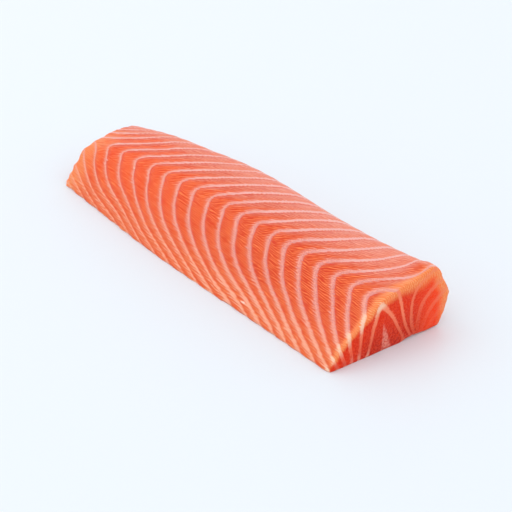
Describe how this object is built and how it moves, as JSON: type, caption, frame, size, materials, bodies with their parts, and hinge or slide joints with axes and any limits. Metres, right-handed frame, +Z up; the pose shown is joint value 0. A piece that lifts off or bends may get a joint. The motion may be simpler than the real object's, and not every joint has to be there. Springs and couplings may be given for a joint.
{
  "type": "salmon loin",
  "caption": "Raw skinned salmon loin, a long slab of flesh with one sloping side, V-shaped fat lines between its flakes, and both ends cut square.",
  "frame": {"origin": "middle of the underside, at the height of the surface the loin lies on", "axes": "+X along the loin to the near cut end, +Y across towards the steep side, +Z up"},
  "size_m": [0.252, 0.0808, 0.0376],
  "materials": {
    "flesh": "moist satin, orange-pink with paler fat lines"
  },
  "bodies": {
    "root": {"salmon_loin": "flesh"}
  },
  "joints": []
}
